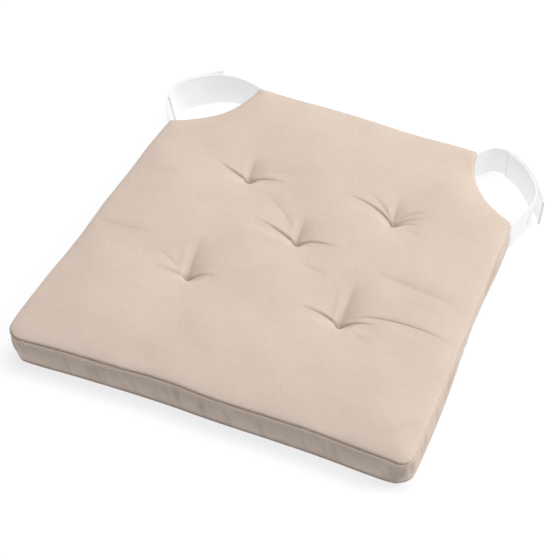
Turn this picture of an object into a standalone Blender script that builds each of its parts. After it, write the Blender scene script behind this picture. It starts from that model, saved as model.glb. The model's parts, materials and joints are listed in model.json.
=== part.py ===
"""Boxed chair seat pad: a foam slab in a sewn cotton cover, tufted through in five places.

A pair of hook-and-loop tapes closes round the chair's back post at each cut-out corner.
Units are metres and +Z is up. The front edge faces -Y and the underside rests on z = 0.
"""

import math

import bpy
from mathutils import Vector
from mathutils.geometry import delaunay_2d_cdt, intersect_point_line

# Outline of the right half, seen from above; the left half mirrors it.
FRONT_HALF_WIDTH = 0.190
FRONT_Y = -0.1965
FRONT_DIP = 0.0045          # the front edge is drawn in at its middle
CORNER_RADIUS = 0.013
SIDE_BULGE = 0.002
SIDE_CORNER = Vector((0.1677, 0.1035))
BACK_CORNER = Vector((0.1073, 0.1765))
CUTOUT_PULL = Vector((0.1160, 0.1265))

# Heights and thicknesses.
FABRIC = 0.0010
GAP = 0.0003                # clearance between pieces that touch
BAND_HEIGHT = 0.0280
HEM_RISE = 0.0015           # the underside curls up this far to the lower seam
HEM_WIDTH = 0.011
CROWN = 0.0045              # the top swells this far above the upper seam
CROWN_FALLOFF = 0.011

# Tufts: one in the middle, and two rows of two.
TUFT_MIDDLE_Y = 0.0050
TUFT_BACK = Vector((0.071, 0.0607))
TUFT_FRONT = Vector((0.073, -0.0715))
DIMPLE_DEPTH = 0.0110
DIMPLE_LIFT = 0.0040        # depth of the matching dimple in the underside
DIMPLE_FLOOR = 0.0045       # radius of the flat bottom that the stitch lies on
DIMPLE_REACH = 0.034
DIMPLE_POWER = 2.4          # above 1, the dimple steepens towards its stitch
FAR_FROM_EDGE = 1.0         # a distance at which the crown and the hem have levelled out
THREAD = 0.0016
TACK_LENGTH = 0.0070
TACK_HEIGHT = 0.0012
HOLE_RADIUS = 0.0015

# Tapes: the outer and inner one on each side follow the same loop round the post. The loop
# points give the line of the upper edge, from the side corner to the back corner.
TAPE_WIDTH = 0.0290
TAPE_THICKNESS = 0.0020
TAPE_LIFT = 0.0015          # height of the lower edge over the floor
TAPE_STANDOFF = 0.0018      # from the sewn corner out to the fold the tape swings on
TAIL_LENGTH = 0.0045        # how far a tape runs in past its corner seam
LOOP_LEFT = [(-0.1835, 0.1300), (-0.1865, 0.1455), (-0.1815, 0.1585), (-0.1720, 0.1690),
             (-0.1600, 0.1775), (-0.1460, 0.1830), (-0.1290, 0.1840)]
LOOP_RIGHT = [(0.1735, 0.1170), (0.1780, 0.1320), (0.1775, 0.1480), (0.1710, 0.1625),
              (0.1605, 0.1745), (0.1480, 0.1845), (0.1350, 0.1905), (0.1200, 0.1895)]
OUTER_REACH = {"left": 0.70, "right": 0.73}     # share of the loop that an outer tape covers
INNER_REACH = 0.78
TIP_FLARE = {"left": 0.0035, "right": 0.0060}   # the outer tape's loose tip stands off the loop
TIP_SHARE = 0.18
ROOT_SHARE = 0.20           # the share of its length in which a tape leaves the loop's line
TAPE_CLEARANCE = 0.0004     # between the closed hook and loop faces
TAPE_LEAN = {"left": 0.0080, "right": 0.0040}   # lower edge inside the upper one, half way round

# Mesh spacing.
GRID = 0.026
EDGE_RINGS = (TAIL_LENGTH + 2 * GAP, HEM_WIDTH)
TUFT_RINGS = (DIMPLE_FLOOR, 0.010, 0.018, DIMPLE_REACH)
RING_POINTS = 10
FRONT_STEPS = 7
ARC_STEPS = 5
SIDE_STEPS = 11
CUTOUT_STEPS = 9
BACK_STEPS = 9
TAPE_STEP = 0.005
CURVE_STEPS = 12            # between two points of a tape loop
WELD = 1e-6

# Each material's colour and roughness.
COVER_COTTON = (0.72, 0.59, 0.49), 0.92
TAPE_WHITE = (0.90, 0.90, 0.89), 0.75
FOAM = (0.86, 0.80, 0.55), 0.95
THREAD_COTTON = (0.62, 0.50, 0.41), 0.85


def clear_scene():
    for obj in list(bpy.data.objects):
        bpy.data.objects.remove(obj, do_unlink=True)


def make_material(name, colour, roughness):
    material = bpy.data.materials.new(name)
    material.use_nodes = True
    shader = material.node_tree.nodes["Principled BSDF"]
    shader.inputs["Base Color"].default_value = (*colour, 1.0)
    shader.inputs["Roughness"].default_value = roughness
    shader.inputs["Metallic"].default_value = 0.0
    return material


def add_mesh(name, verts, faces, material, location=(0.0, 0.0, 0.0)):
    mesh = bpy.data.meshes.new(name)
    mesh.from_pydata([tuple(v) for v in verts], [], faces)
    mesh.materials.append(material)
    obj = bpy.data.objects.new(name, mesh)
    obj.location = location
    bpy.data.collections["seat_pad"].objects.link(obj)
    return obj


# ---------------------------------------------------------------- plan curves

def mirrored(points):
    return [Vector((-p.x, p.y)) for p in reversed(points)]


def bezier(start, pull, end):
    points = []
    for i in range(CUTOUT_STEPS + 1):
        t = i / CUTOUT_STEPS
        points.append(start * (1 - t) ** 2 + pull * 2 * t * (1 - t) + end * t * t)
    return points


def front_half():
    """From the middle of the front edge round the corner and up the side."""
    lean = math.atan2(FRONT_HALF_WIDTH - SIDE_CORNER.x, SIDE_CORNER.y - FRONT_Y)
    centre = Vector((FRONT_HALF_WIDTH - CORNER_RADIUS, FRONT_Y + CORNER_RADIUS))
    points = []
    for i in range(FRONT_STEPS):
        t = i / FRONT_STEPS
        points.append(Vector((t * centre.x, FRONT_Y + FRONT_DIP * (1 - t * t))))
    for i in range(ARC_STEPS + 1):
        turn = -math.pi / 2 + (lean + math.pi / 2) * i / ARC_STEPS
        points.append(centre + CORNER_RADIUS * Vector((math.cos(turn), math.sin(turn))))
    start = points[-1]
    outward = Vector((math.cos(lean), math.sin(lean)))
    for i in range(1, SIDE_STEPS + 1):
        t = i / SIDE_STEPS
        points.append(start.lerp(SIDE_CORNER, t) + outward * SIDE_BULGE * 4 * t * (1 - t))
    return points


def plan_runs():
    """The outline as four runs, anticlockwise, each from one sewn corner to the next."""
    half = front_half()
    cutout = bezier(SIDE_CORNER, CUTOUT_PULL, BACK_CORNER)
    far = Vector((-BACK_CORNER.x, BACK_CORNER.y))
    back = [BACK_CORNER.lerp(far, i / BACK_STEPS) for i in range(BACK_STEPS + 1)]
    return [mirrored(half)[:-1] + half, cutout, back, mirrored(cutout)]


def sewn_corners(runs):
    """The outline's index at each corner where a tape is sewn in."""
    right_side = len(runs[0]) - 1
    right_back = right_side + len(runs[1]) - 1
    left_back = right_back + len(runs[2]) - 1
    return {"left_side": 0, "right_side": right_side, "right_back": right_back,
            "left_back": left_back}


def closed_outline(runs):
    return [point for run in runs for point in run[:-1]]


def inset(points, distance):
    """The closed outline moved inwards, with mitred corners."""
    moved = []
    for i, point in enumerate(points):
        before = (point - points[i - 1]).normalized()
        after = (points[(i + 1) % len(points)] - point).normalized()
        first = Vector((-before.y, before.x))
        second = Vector((-after.y, after.x))
        moved.append(point + (first + second) * distance / (1 + first.dot(second)))
    return moved


def edge_distance(point, outline):
    nearest = 1.0
    for i, corner in enumerate(outline):
        foot, share = intersect_point_line(point, outline[i - 1], corner)
        foot = outline[i - 1].lerp(corner, min(max(share, 0.0), 1.0))
        nearest = min(nearest, (point - foot).length)
    return nearest


def tuft_centres():
    return {
        "middle": Vector((0.0, TUFT_MIDDLE_Y)),
        "back_right": TUFT_BACK,
        "back_left": Vector((-TUFT_BACK.x, TUFT_BACK.y)),
        "front_right": TUFT_FRONT,
        "front_left": Vector((-TUFT_FRONT.x, TUFT_FRONT.y)),
    }


# ---------------------------------------------------------------- cover heights

def dimple(point):
    """1 on the flat bottom of a dimple, fading to 0 at its reach."""
    radius = min((point - centre).length for centre in tuft_centres().values())
    share = (DIMPLE_REACH - radius) / (DIMPLE_REACH - DIMPLE_FLOOR)
    return min(max(share, 0.0), 1.0) ** DIMPLE_POWER


def rim_height():
    """Underside of the top panel where it meets the band."""
    return HEM_RISE + FABRIC + GAP + BAND_HEIGHT + GAP


def top_height(point, distance):
    swell = CROWN * (1 - math.exp(-distance / CROWN_FALLOFF))
    return rim_height() + FABRIC + swell - DIMPLE_DEPTH * dimple(point)


def underside_height(point, distance):
    curl = max(0.0, 1 - distance / HEM_WIDTH)
    return HEM_RISE * curl ** 2 + DIMPLE_LIFT * dimple(point)


# ---------------------------------------------------------------- layered sheets

def circle(centre, radius, count):
    turns = [2 * math.pi * i / count for i in range(count)]
    return [centre + radius * Vector((math.cos(a), math.sin(a))) for a in turns]


def plan_points(outline):
    """Points to span the outline: rings round each tuft, and a grid clear of the edge."""
    points = []
    centres = tuft_centres().values()
    for centre in centres:
        for radius in TUFT_RINGS:
            points += circle(centre, radius, RING_POINTS)
    columns = math.ceil(FRONT_HALF_WIDTH / GRID)
    for column in range(-columns, columns + 1):
        for row in range(-columns, columns + 1):
            point = Vector((column * GRID, row * GRID))
            clear = min((point - centre).length for centre in centres)
            if clear < DIMPLE_REACH + GRID / 3 or not inside(point, outline):
                continue
            if edge_distance(point, outline) > HEM_WIDTH + GRID / 3:
                points.append(point)
    return points


def inside(point, outline):
    crossings = 0
    for i, b in enumerate(outline):
        a = outline[i - 1]
        if (a.y > point.y) != (b.y > point.y):
            crossings += point.x < a.x + (point.y - a.y) * (b.x - a.x) / (b.y - a.y)
    return crossings % 2 == 1


def triangulated(border, outline):
    """The area inside the border as triangles, open at every tuft hole."""
    loops = [border] + [inset(outline, ring) for ring in EDGE_RINGS]
    loops += [circle(centre, HOLE_RADIUS, RING_POINTS) for centre in tuft_centres().values()]
    points, edges = [], []
    for loop in loops:
        first = len(points)
        points += loop
        edges += [(first + i, first + (i + 1) % len(loop)) for i in range(len(loop))]
    points += plan_points(outline)
    verts, _, faces, _, _, _ = delaunay_2d_cdt(points, edges, [], 1, WELD)
    kept = []
    for face in faces:
        middle = sum((verts[i] for i in face), Vector((0.0, 0.0))) / 3
        if min((middle - centre).length for centre in tuft_centres().values()) > HOLE_RADIUS:
            kept.append(list(face))
    return verts, kept


def layer(name, border, outline, heights, material):
    """A closed sheet inside the border, between the two heights that heights(point) gives."""
    plan, faces = triangulated(border, outline)
    spans = [heights(point) for point in plan]
    count = len(plan)
    verts = [(*point, upper) for point, (upper, _) in zip(plan, spans)]
    verts += [(*point, lower) for point, (_, lower) in zip(plan, spans)]
    sides = {(face[i - 1], face[i]) for face in faces for i in range(3)}
    walls = [(b, a, a + count, b + count) for a, b in sorted(sides) if (b, a) not in sides]
    under = [tuple(i + count for i in reversed(face)) for face in faces]
    obj = add_mesh(name, verts, [tuple(face) for face in faces] + under + walls, material)
    obj.data.shade_smooth()
    return obj


def build_top_panel(outline, material):
    def heights(point):
        upper = top_height(point, edge_distance(point, outline))
        return upper, upper - FABRIC

    layer("top_panel", outline, outline, heights, material)


def build_bottom_panel(outline, material):
    def heights(point):
        lower = underside_height(point, edge_distance(point, outline))
        return lower + FABRIC, lower

    layer("bottom_panel", outline, outline, heights, material)


def cut_off(points, corner, outward, depth):
    """The closed outline cut off square to outward, at this depth below the corner."""
    limit = corner.dot(outward) - depth
    kept = []
    for a, b in zip(points, points[1:] + points[:1]):
        above, next_above = a.dot(outward) - limit, b.dot(outward) - limit
        if above <= 0:
            kept.append(a)
        if above * next_above < 0:
            kept.append(a.lerp(b, above / (above - next_above)))
    return kept


def build_foam(outline, corners, material):
    """The slab, with each sewn corner cut off to make room for a tape's tail."""
    border = inset(outline, FABRIC + GAP)
    for index in corners.values():
        border = cut_off(border, outline[index], outward_at(outline, index), TAIL_LENGTH + GAP)

    def heights(point):
        distance = edge_distance(point, outline)
        upper = top_height(point, distance) - FABRIC - GAP
        lower = underside_height(point, distance) + FABRIC + GAP
        return upper, lower

    layer("foam_core", border, outline, heights, material)


# ---------------------------------------------------------------- boxing bands

def trimmed(points, cut):
    """The run shortened by cut at both ends."""
    first = points[0] + (points[1] - points[0]).normalized() * cut
    last = points[-1] + (points[-2] - points[-1]).normalized() * cut
    return [first] + list(points[1:-1]) + [last]


def wall(name, edges, material, location=(0.0, 0.0, 0.0)):
    """A closed strip between four long edges, each a height and a path of as many points."""
    count = len(edges[0][1])
    verts = [(point.x, point.y, z) for z, path in edges for point in path]
    faces = []
    for side in range(4):
        a = side * count
        b = (side + 1) % 4 * count
        faces += [(a + i, a + i + 1, b + i + 1, b + i) for i in range(count - 1)]
    faces.append(tuple(side * count for side in range(4)))
    faces.append(tuple(side * count + count - 1 for side in reversed(range(4))))
    return add_mesh(name, verts, [face[::-1] for face in faces], material, location)


def upright_wall(name, outer, inner, low, high, material):
    wall(name, [(low, outer), (low, inner), (high, inner), (high, outer)], material)


def corner_directions(outline, index):
    """Unit vectors from an outline corner along its two edges."""
    point = outline[index]
    before = (outline[index - 1] - point).normalized()
    after = (outline[(index + 1) % len(outline)] - point).normalized()
    return before, after


def outward_at(outline, index):
    before, after = corner_directions(outline, index)
    return -(before + after).normalized()


def build_bands(runs, outline, material):
    inner = inset(outline, FABRIC)
    low = HEM_RISE + FABRIC + GAP
    slot = TAPE_THICKNESS + 2 * GAP
    start = 0
    for name, run in zip(("front", "cutout_right", "back", "cutout_left"), runs):
        last = start + len(run) - 1
        indices = [i % len(outline) for i in range(start, last + 1)]
        before, after = corner_directions(outline, indices[0])
        cut = slot / 2 / math.sin(before.angle(after) / 2)
        outer_path = trimmed([outline[i] for i in indices], cut)
        inner_path = trimmed([inner[i] for i in indices], cut)
        upright_wall(f"band_{name}", outer_path, inner_path, low, low + BAND_HEIGHT, material)
        start = last


# ---------------------------------------------------------------- tufts

def build_tuft(name, centre, material):
    """A stitch through the pad: a thread with a bar tack lying in each dimple."""
    upper = top_height(centre, FAR_FROM_EDGE) + GAP
    lower = underside_height(centre, FAR_FROM_EDGE) - GAP
    half, bar = THREAD / 2, TACK_LENGTH / 2
    right = [(bar, upper + TACK_HEIGHT), (bar, upper), (half, upper),
             (half, lower), (bar, lower), (bar, lower - TACK_HEIGHT)]
    profile = right + [(-x, z) for x, z in reversed(right)]
    count = len(profile)
    verts = [(x, y, z) for y in (-half, half) for x, z in profile]
    faces = [(i, (i + 1) % count, (i + 1) % count + count, i + count) for i in range(count)]
    faces.append(tuple(reversed(range(count))))
    faces.append(tuple(range(count, 2 * count)))
    add_mesh(name, verts, faces, material, (centre.x, centre.y, 0.0))


# ---------------------------------------------------------------- tapes

def smooth_curve(points):
    """A Catmull-Rom curve through the points."""
    ends = [points[0] * 2 - points[1]] + points + [points[-1] * 2 - points[-2]]
    curve = [points[0]]
    for a, b, c, d in zip(ends, ends[1:], ends[2:], ends[3:]):
        for i in range(1, CURVE_STEPS + 1):
            t = i / CURVE_STEPS
            rise = (c - a) * t + (a * 2 - b * 5 + c * 4 - d) * t * t
            curve.append(b + (rise + (b * 3 - a - c * 3 + d) * t ** 3) / 2)
    return curve


def spaced(curve, length, step):
    """Points at even spacing along the curve's first length."""
    count = max(2, round(length / step))
    wanted = [length * i / count for i in range(count + 1)]
    points, travelled = [], 0.0
    for a, b in zip(curve, curve[1:]):
        reach = (b - a).length
        while wanted and wanted[0] <= travelled + reach:
            points.append(a.lerp(b, (wanted.pop(0) - travelled) / reach))
        travelled += reach
    return points


def curve_length(curve):
    return sum((b - a).length for a, b in zip(curve, curve[1:]))


def path_normals(points):
    """Unit normals on the right of the direction of travel."""
    normals = []
    for i in range(len(points)):
        along = points[min(i + 1, len(points) - 1)] - points[max(i - 1, 0)]
        normals.append(Vector((along.y, -along.x)).normalized())
    return normals


def eased(share):
    share = min(max(share, 0.0), 1.0)
    return share * share * (3 - 2 * share)


def tape_edges(curve, reach, layer_side, flare, lean, outward):
    """The four long edges of a tape that runs just outside or inside the loop.

    outward is 1 where the post is on the left of the direction of travel, else -1.
    """
    points = spaced(curve, curve_length(curve) * reach, TAPE_STEP)
    layer_offset = (TAPE_THICKNESS + TAPE_CLEARANCE) / 2 * layer_side
    edges = [(TAPE_LIFT, []), (TAPE_LIFT, []), (TAPE_LIFT + TAPE_WIDTH, []),
             (TAPE_LIFT + TAPE_WIDTH, [])]
    for i, (point, normal) in enumerate(zip(points, path_normals(points))):
        share = i / (len(points) - 1)
        round_loop = share * reach
        offset = layer_offset * eased(share / ROOT_SHARE)
        offset += flare * eased((share - 1 + TIP_SHARE) / TIP_SHARE)
        upper = point + normal * outward * offset
        lower = upper - normal * outward * lean * 4 * round_loop * (1 - round_loop)
        half = normal * TAPE_THICKNESS / 2
        for (_, path), place in zip(edges, (lower + half, lower - half, upper - half, upper + half)):
            path.append(place)
    return edges


def build_tape(name, edges, hinge, material):
    """A free tape, with its origin on the fold that it swings on."""
    local = [(z, [point - hinge for point in path]) for z, path in edges]
    wall(name, local, material, (hinge.x, hinge.y, 0.0))


def build_tail(name, corner, outward, material):
    """The end of a tape that is sewn into the corner seam and runs back inside the cover."""
    side = Vector((outward.y, -outward.x)) * TAPE_THICKNESS / 2
    path = [corner + outward * (TAPE_STANDOFF - TAPE_THICKNESS / 2 - GAP),
            corner - outward * TAIL_LENGTH]
    low = HEM_RISE + FABRIC + GAP
    outer = [point - side for point in path]
    inner = [point + side for point in path]
    upright_wall(name, outer, inner, low, low + BAND_HEIGHT, material)


def build_tapes(outline, corners, material):
    hinges = {}
    for corner, index in corners.items():
        outward = outward_at(outline, index)
        build_tail(f"tail_{corner}", outline[index], outward, material)
        hinges[corner] = outline[index] + outward * TAPE_STANDOFF
    for side, loop, outer_end in (("left", LOOP_LEFT, "side"), ("right", LOOP_RIGHT, "back")):
        first, last = hinges[f"{side}_side"], hinges[f"{side}_back"]
        curve = smooth_curve([first] + [Vector(p) for p in loop] + [last])
        for end in ("side", "back"):
            outer = end == outer_end
            reach = OUTER_REACH[side] if outer else INNER_REACH
            flare = TIP_FLARE[side] if outer else 0.0
            route = curve if end == "side" else curve[::-1]
            outward = 1 if (side == "right") == (end == "side") else -1
            layer_side = 1 if outer else -1
            edges = tape_edges(route, reach, layer_side, flare, TAPE_LEAN[side], outward)
            build_tape(f"tape_{side}_{end}", edges, hinges[f"{side}_{end}"], material)


def main():
    clear_scene()
    collection = bpy.data.collections.new("seat_pad")
    bpy.context.scene.collection.children.link(collection)
    cover = make_material("cover_cotton", *COVER_COTTON)
    tape = make_material("tape_white", *TAPE_WHITE)
    foam = make_material("foam", *FOAM)
    thread = make_material("thread", *THREAD_COTTON)
    runs = plan_runs()
    outline = closed_outline(runs)
    corners = sewn_corners(runs)
    build_top_panel(outline, cover)
    build_bottom_panel(outline, cover)
    build_foam(outline, corners, foam)
    build_bands(runs, outline, cover)
    for name, centre in tuft_centres().items():
        build_tuft(f"tuft_{name}", centre, thread)
    build_tapes(outline, corners, tape)


main()
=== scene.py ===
"""Looks of a boxed, tufted chair seat pad with hook-and-loop tapes at its cut-out corners.

The cotton cover is swelled by a cloth simulation and then creased at its tufts. Everything is
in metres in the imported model's frame, whose nodes give the outline, the tufts and the tapes.
"""
import json
import math

import bpy
import numpy as np
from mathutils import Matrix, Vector, noise
from mathutils.bvhtree import BVHTree
from mathutils.geometry import barycentric_transform, delaunay_2d_cdt


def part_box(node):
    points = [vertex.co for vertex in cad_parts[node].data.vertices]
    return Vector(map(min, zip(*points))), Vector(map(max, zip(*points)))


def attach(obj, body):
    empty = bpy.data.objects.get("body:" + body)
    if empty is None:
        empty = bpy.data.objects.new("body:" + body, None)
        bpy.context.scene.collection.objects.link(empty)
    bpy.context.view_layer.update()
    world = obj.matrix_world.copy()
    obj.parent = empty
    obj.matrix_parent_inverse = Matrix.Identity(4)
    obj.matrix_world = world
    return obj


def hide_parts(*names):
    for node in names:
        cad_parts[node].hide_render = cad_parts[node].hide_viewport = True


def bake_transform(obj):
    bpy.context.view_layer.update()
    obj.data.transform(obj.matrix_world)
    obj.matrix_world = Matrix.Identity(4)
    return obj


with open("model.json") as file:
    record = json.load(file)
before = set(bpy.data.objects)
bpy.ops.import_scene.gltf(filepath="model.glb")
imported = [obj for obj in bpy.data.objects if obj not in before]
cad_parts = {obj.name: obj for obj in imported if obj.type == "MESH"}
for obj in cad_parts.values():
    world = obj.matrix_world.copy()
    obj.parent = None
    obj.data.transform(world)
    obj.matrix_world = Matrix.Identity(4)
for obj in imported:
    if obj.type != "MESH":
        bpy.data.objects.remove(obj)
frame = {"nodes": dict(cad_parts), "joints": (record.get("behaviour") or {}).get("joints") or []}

STARTUP_OBJECTS = ("Cube", "Light", "Camera")
for startup in STARTUP_OBJECTS:
    if startup in bpy.data.objects:
        bpy.data.objects.remove(bpy.data.objects[startup])
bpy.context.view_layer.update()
SCENE = bpy.context.scene

MM = 0.001

# Camera, in the frame of the model.
VIEW_AZIMUTH = math.radians(23.27)
VIEW_ELEVATION = math.radians(46.91)
VIEW_DISTANCE = 3.0825
VIEW_TARGET = Vector((-0.0070, -0.0145, 0.0))
LENS = 220.4                # mm, on a sensor 36 mm wide

# Mesh spacing of the finished cover and of the simulated one.
FINE_EDGE = 1.8 * MM
FINE_GRID = 2.6 * MM
TUFT_GRID = 1.5 * MM
TUFT_ZONE = 30 * MM
FINE_RINGS = [0.5 * MM, 1.1 * MM, 1.9 * MM, 3.0 * MM, 4.5 * MM, 6.5 * MM, 9.0 * MM]
COARSE_EDGE = 6 * MM
COARSE_RINGS = [5 * MM]
SHARP_TURN = math.radians(40)
CURVE_STEPS = 8
RIM_CLEAR = 0.2 * MM        # points nearer to another than this are left out
TUFT_CLEAR = TUFT_GRID * 0.45 * 1.6
BODY_CLEAR = 0.75           # share of the grid's spacing
SHARP_WIDTH = 2.6 * MM      # a fold narrower than this has close rows of points along it
SHARP_ROWS, SHARP_CLEAR = (0.0, 0.4, -0.4, 0.9, -0.9, 1.6, -1.6), 0.36 * MM
SOFT_ROWS, SOFT_CLEAR = (0.0, 1.4, -1.4), 1.0 * MM
UNDER_GRID = 4 * MM
FOAM_RINGS, FOAM_GRID = [6 * MM], 5 * MM
BLOCK = 2000                # points handled at once

# Tables of (distance in from the outline, height) in millimetres: the top above its seam, the
# underside above the floor, and the rows that tuck under the edges of each.
SEAM_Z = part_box("band_front")[1].z + 0.3 * MM
TOP_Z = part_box("top_panel")[1].z
ROLL = [(0.0, 1.0), (0.25, 1.55), (0.7, 2.0), (1.5, 2.4), (3.0, 2.9), (5.0, 3.4), (8.0, 4.0),
        (12.0, 4.55), (20.0, 5.2), (35.0, 5.5)]
HEM = [(0.0, 1.6), (1.0, 1.1), (3.0, 0.55), (6.0, 0.2), (11.0, 0.0)]
TOP_TUCK = [(0.15, 0.35), (0.9, 0.0), (2.2, -0.15)]
HEM_TUCK = [(0.2, 2.1), (0.9, 2.6), (2.2, 2.75)]

# The dimple at each tuft: a narrow pit in a shallow cone, deeper on the side away from the front.
PIT_DEPTH = 3.2 * MM
PIT_RADIUS = 3.2 * MM
CONE_DEPTH = 6.0 * MM
CONE_RADIUS = 11.5 * MM
CONE_SKEW = 0.35
CONE_FACES = math.radians(68)
UNDER_DEPTH = 3.4 * MM
UNDER_RADIUS = 9 * MM
UNDER_POWER = 1.3
PLEATS, PLEAT_SHARE, PLEAT_TURN = 5, 0.25, 1.2

# Creases at each tuft: heading at the start and at the end in degrees, length, depth, the width
# of the fold on its left and on its right in millimetres, and how far out it starts.
CREASES = {
    "back_left": [(171, 164, 35, 2.4, 4, 0.8, 1.2), (100, 97, 28, 2.3, 2.4, 6, 1.2),
                  (24, -4, 37, 2, 0.8, 4, 1.2), (48, 6, 44, 0.6, 2, 3, 16)],
    "back_right": [(147, 183, 58, 2.4, 4, 0.8, 1.2), (132, 152, 46, 1.1, 3, 1.2, 2.5),
                   (106, 85, 38, 1.9, 2.2, 4.8, 1.2), (66, 0, 44, 1.3, 0.9, 3.2, 2.5),
                   (42, 8, 33, 1.6, 0.8, 2.6, 1.5), (20, 0, 28, 1.6, 0.8, 3, 1.2),
                   (-18, -8, 37, 0.5, 1.5, 3, 13)],
    "middle": [(163, 172, 50, 2.4, 4, 0.9, 1.2), (172, 180, 47, 0.6, 2.6, 1.6, 15),
               (97, 93, 32, 2.5, 2.4, 6, 1.2), (26, -14, 42, 2, 0.8, 4, 1.2)],
    "front_left": [(182, 188, 37, 1.3, 4, 1.4, 1.2), (97, 95, 48, 3.1, 2.8, 8, 1.2),
                   (32, -8, 30, 1.8, 0.9, 4, 1.2), (150, 160, 40, 0.6, 3, 2, 12)],
    "front_right": [(163, 190, 45, 2.1, 4, 0.9, 1.2), (91, 100, 51, 3, 2.6, 7.5, 1.2),
                    (28, -8, 40, 2.1, 0.8, 4, 1.2), (-24, -28, 44, 0.5, 2, 3, 12)],
}
# Longer folds: three points in plan, depth, left and right width, all in millimetres.
FOLDS = [
    ((80, -63), (112, -46), (176, -58), 1.4, 0.9, 4),
    ((80, -5), (118, -8), (170, -15), 1.1, 3.2, 7),
    ((96, -26), (130, -28), (172, -33), 0.45, 3, 6),
    ((12, -20), (27, -21), (43, -26), 0.7, 1.8, 4),
    ((-10, 16), (-16, 32), (-50, 49), 0.7, 3.4, 2.2),
    ((-179, -39), (-150, -42), (-120, -39), 0.7, 2.4, 4.5),
    ((-174, 33), (-150, 35), (-122, 41), 0.45, 3, 4.5),
    ((-152, 94), (-128, 104), (-104, 138), 0.35, 4, 4),
    ((100, 172), (110, 160), (113, 142), 1, 2, 5),
    ((102, 171), (92, 160), (90, 150), 0.5, 3, 4),
    ((150, -178), (168, -170), (181, -150), 0.5, 2.4, 4.5),
]
CREASE_STEP = 1.6           # mm
FOLD_STEP = 2.2 * MM
FADE_FROM = 5               # mm; a crease that starts further out than this fades in
CUSP = 0.95                 # below 1, a crease has a sharp bottom
SHOULDER, SHOULDER_AT = 0.22, 2.6   # the rims' rise as a share of the depth; widths out
WIDTH_START, WIDTH_GAIN = 0.75, 0.9
CREASE_CALM = 6 * MM        # creases weaken this near to the outline
CREASE_SHADE_DEPTH = 3 * MM        # the crease depth at which the painted shade is full

# The boxing band's section: out from the outline and up from the floor, in millimetres.
BAND_SECTION = [(-2.4, 31.0), (-1.2, 31.05), (-0.2, 31.05), (0.5, 30.9), (0.85, 30.5),
                (0.8, 29.95), (0.3, 29.3), (-0.1, 28.4), (0.05, 26.0), (0.25, 23.5),
                (0.4, 21.0), (0.5, 18.5), (0.5, 16.0), (0.4, 13.5), (0.25, 11.0), (0.0, 8.5),
                (-0.2, 6.5), (-0.3, 5.0), (-0.15, 4.2), (0.0, 3.7), (-0.3, 3.2), (-1.2, 2.9),
                (-2.4, 2.85)]
BANDS = ("front", "cutout_right", "back", "cutout_left")    # the outline's runs, in order
FABRIC = 0.8 * MM
PUCKER = 1.5 * MM
PUCKER_FOOT, PUCKER_REACH = 4 * MM, 25 * MM     # puckers fade out at both seams
FOAM_INSET = 2.6 * MM
FOAM_GAP = 1.6 * MM         # under the top panel
FOAM_FLOOR = FABRIC + 1.0 * MM
BORE = 1.6 * MM
STITCH_HALF = 1.7 * MM
STITCH_LANE = 0.45          # side step of the bar's threads, as a share of 0.8 mm
STITCH_RADIUS = 0.3 * MM
WRAP_RADIUS = 0.24 * MM
STRAND_RADIUS = 0.28 * MM
SLOT_HALF = 1.3 * MM        # half of the slot that a tape passes through at a sewn corner

# Where the sides are drawn in: centre and reach in plan, the shift of the lower edge, all in
# millimetres, and the share of it that the upper edge takes.
TUCKS = [((186, 2), (26, 74), (-6.0, 0.0), 0.3), ((-186, -45), (26, 80), (4.0, 0.0), 0.2),
         ((-112, -196), (58, 24), (0.0, 1.2), 0.0), ((-186, -194), (22, 22), (5.0, 2.0), 0.0),
         ((186, -196), (13, 13), (-2.5, 2.0), -0.8), ((60, 178), (50, 24), (0.0, -2.5), 0.3)]
SWAY = 2.2 * MM             # how far the outline wanders
SEAM_SWAY = 1.3 * MM
CALM = 34 * MM              # the reach of the still ground round each tuft
SWAY_X, SWAY_Y, SEAM_LONG, SEAM_SHORT = 0.055, 0.060, 0.042, 0.015  # lengths of the waves, m

# Cloth simulation.
PRESSURE = 4.0
CLOTH_SHRINK = -0.004       # below zero, the cloth is slack
CLOTH_STIFFNESS = 2.0
SIM_FRAMES = 20
SWELL_CAP = 3.2 * MM
SWELL_SHARE = 0.6
SMOOTHING = 8               # passes
START_DROP = 1.0 * MM       # the simulated cover starts this far below the finished top
WALL_ROWS = (24 * MM, 16 * MM, 9 * MM)
RIM_PIN = 0.9
TUFT_PIN = 7 * MM           # cover held still round each tuft

# Tapes.
TAPE_STEP = 1.2 * MM
WEB_HALF = 0.62 * MM
SELVEDGE_HALF = 0.92 * MM
SELVEDGE_WIDTH = 2.2 * MM
TAIL_REACH = 1.9            # how far past its hinge a tape runs in, in halves of its tail
TAPE_POINTS = 60
EDGE_OFFSET = 0.45 * MM
PILE_START = 34 * MM
PILE_END = 1.5 * MM
PILE_INSET = 3.2 * MM
PILE_TOP = 0.92 * MM
HEM_LENGTH = 9 * MM
HEM_LIFT = 0.85 * MM
CUT_LENGTH = 1.6 * MM       # the end of a tape, heat-sealed and darkened further with painted shade

# Linear colours, the glow of the tapes, which is painted light that lifts their shaded faces, the
# glow of the floor, and the lights.
COTTON_DARK = (0.600, 0.486, 0.405, 1.0)
COTTON_LIGHT = (0.735, 0.607, 0.515, 1.0)
# Painted shade: the cotton's colour at the bottoms of its creases and of the bands' puckers.
COTTON_PAINTED_SHADE = (0.47, 0.375, 0.305, 1.0)
TAPE_SHADE = (0.34, 0.34, 0.34, 1.0)
TAPE_LIGHT = (0.40, 0.40, 0.40, 1.0)
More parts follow.
